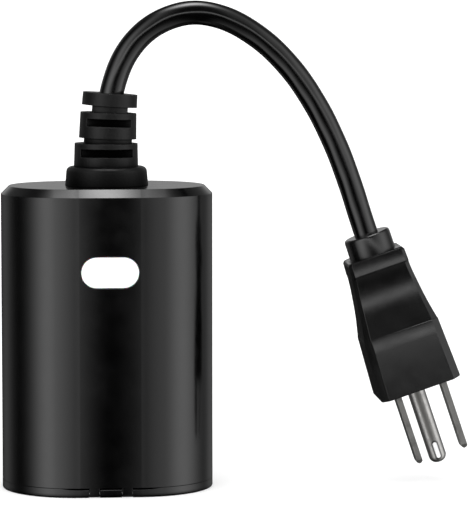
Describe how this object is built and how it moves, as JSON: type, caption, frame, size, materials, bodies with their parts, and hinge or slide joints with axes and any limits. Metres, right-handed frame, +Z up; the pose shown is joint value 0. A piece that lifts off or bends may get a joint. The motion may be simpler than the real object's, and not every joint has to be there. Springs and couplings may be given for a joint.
{
  "type": "smart plug",
  "caption": "Outdoor smart plug: obround black housing with a capped outlet below, a white button, and a short arched cord to a moulded grounding plug.",
  "frame": {"origin": "centre of the closed weather cap's bottom face, which the plug stands on", "axes": "+Z up out of the top where the cord leaves, -Y out of the button's face, +X towards the plug at the cord's far end"},
  "size_m": [0.1238, 0.0431, 0.129],
  "materials": {
    "shell": "satin moulded",
    "cap": "satin moulded",
    "face": "fine texture",
    "button": "smooth translucent",
    "boot": "matte",
    "cord": "glossy jacket",
    "plug": "satin moulded",
    "seal": "soft",
    "pin_steel": "ground",
    "blade": "nickel plated",
    "contact": "stamped",
    "board": "coated laminate",
    "component": "moulded",
    "relay_case": "moulded",
    "can": "drawn",
    "disc": "dipped",
    "carrier": "moulded",
    "wire_black": "insulation",
    "wire_white": "insulation",
    "wire_green": "insulation",
    "lens": "clear"
  },
  "bodies": {
    "housing": {"body_shell": "shell", "socket_plate": "face", "face_gasket": "seal", "contact_carrier": "carrier", "hot_contact": "contact", "neutral_contact": "contact", "ground_contact": "contact", "circuit_board": "board", "relay": "relay_case", "transformer": "component", "bulk_capacitor": "can", "filter_capacitor": "component", "varistor": "disc", "fuse": "component", "wifi_module": "can", "status_led": "lens", "tact_switch": "component", "button_seal": "seal", "strain_relief": "boot", "gland_seal": "seal", "relief_clip": "component", "cord_tail": "cord", "line_wire": "wire_black", "neutral_wire": "wire_white", "ground_wire": "wire_green", "hot_link_wire": "wire_black", "neutral_link_wire": "wire_white", "hinge_pin": "pin_steel"},
    "button": {"power_button": "button", "switch_plunger": "component"},
    "cap": {"weather_cap": "cap", "latch_pin": "pin_steel"},
    "latch": {"cap_latch": "cap"},
    "cord_base": {"cord_exit": "cord"},
    "cord_rise": {"cord_arch": "cord"},
    "cord_fall": {"cord_drop": "cord"},
    "plug": {"plug_body": "plug", "blade_carrier": "carrier", "line_blade": "blade", "neutral_blade": "blade", "ground_pin": "blade", "cord_plug_end": "cord", "plug_line_wire": "wire_black", "plug_neutral_wire": "wire_white", "plug_ground_wire": "wire_green"}
  },
  "joints": [
    {"name": "cap_hinge", "type": "hinge", "parent": "housing", "child": "cap", "pos_m": [0, -0.0189, 0.0011], "axis": [-1, 0, 0], "range_deg": [0, 110]},
    {"name": "latch_swing", "type": "hinge", "parent": "cap", "child": "latch", "pos_m": [0, 0.0212, 0.0013], "axis": [-1, 0, 0], "range_deg": [0, 180]},
    {"name": "button_press", "type": "slide", "parent": "housing", "child": "button", "axis": [0, 1, 0], "range_m": [0, 0.0005], "stiffness_N_per_m": 3000},
    {"name": "cord_yaw", "type": "hinge", "parent": "housing", "child": "cord_base", "pos_m": [0.00149, 0, 0.10511], "axis": [0, 0, 1], "range_deg": [-30, 30]},
    {"name": "cord_lift", "type": "hinge", "parent": "cord_base", "child": "cord_rise", "pos_m": [0.00394, 0, 0.11249], "axis": [0, -1, 0], "range_deg": [-8, 30]},
    {"name": "arch_flex", "type": "hinge", "parent": "cord_rise", "child": "cord_fall", "pos_m": [0.02552, 0, 0.12574], "axis": [0, -1, 0], "range_deg": [-10, 30]},
    {"name": "plug_swing", "type": "hinge", "parent": "cord_fall", "child": "plug", "pos_m": [0.06684, 0, 0.07427], "axis": [0, -1, 0], "range_deg": [-10, 25]}
  ]
}
